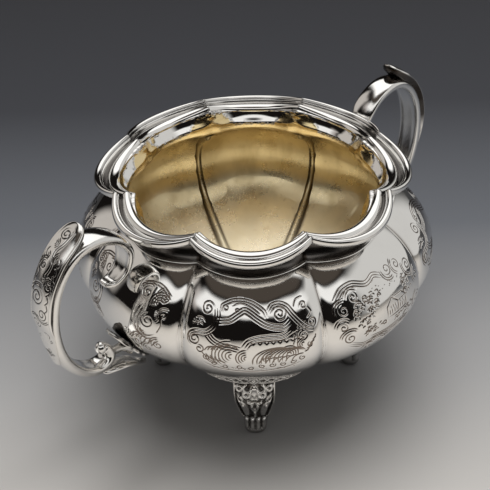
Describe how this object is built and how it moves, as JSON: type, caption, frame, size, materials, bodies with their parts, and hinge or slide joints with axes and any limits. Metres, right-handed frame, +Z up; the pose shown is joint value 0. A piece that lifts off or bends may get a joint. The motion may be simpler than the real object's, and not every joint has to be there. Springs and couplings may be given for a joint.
{
  "type": "sugar bowl",
  "caption": "Lobed silver sugar bowl with a gilt inside, a reeded wavy rim, a scroll handle on each side and leafy cast feet.",
  "frame": {"origin": "on the table plane under the centre of the bowl, midway between the four feet", "axes": "+Z up the bowl's axis, +X through the right handle, so the handles lie along X"},
  "size_m": [0.2, 0.14, 0.1108],
  "materials": {
    "silver": "polished silver, engraved, with fine wear",
    "gilt": "soft worn gold wash"
  },
  "bodies": {
    "root": {"bowl_body": "silver", "gilt_lining": "gilt", "neck_collar": "silver", "rim_segment_1": "silver", "rim_segment_2": "silver", "rim_segment_3": "silver", "rim_segment_4": "silver", "rim_segment_5": "silver", "rim_segment_6": "silver", "rim_segment_7": "silver", "rim_segment_8": "silver", "handle_left_scroll": "silver", "handle_left_leaf": "silver", "handle_left_ball": "silver", "handle_left_bracket": "silver", "handle_left_plate": "silver", "handle_right_scroll": "silver", "handle_right_leaf": "silver", "handle_right_ball": "silver", "handle_right_bracket": "silver", "handle_right_plate": "silver", "foot_1_leg": "silver", "foot_1_apron": "silver", "foot_2_leg": "silver", "foot_2_apron": "silver", "foot_3_leg": "silver", "foot_3_apron": "silver", "foot_4_leg": "silver", "foot_4_apron": "silver"}
  },
  "joints": []
}
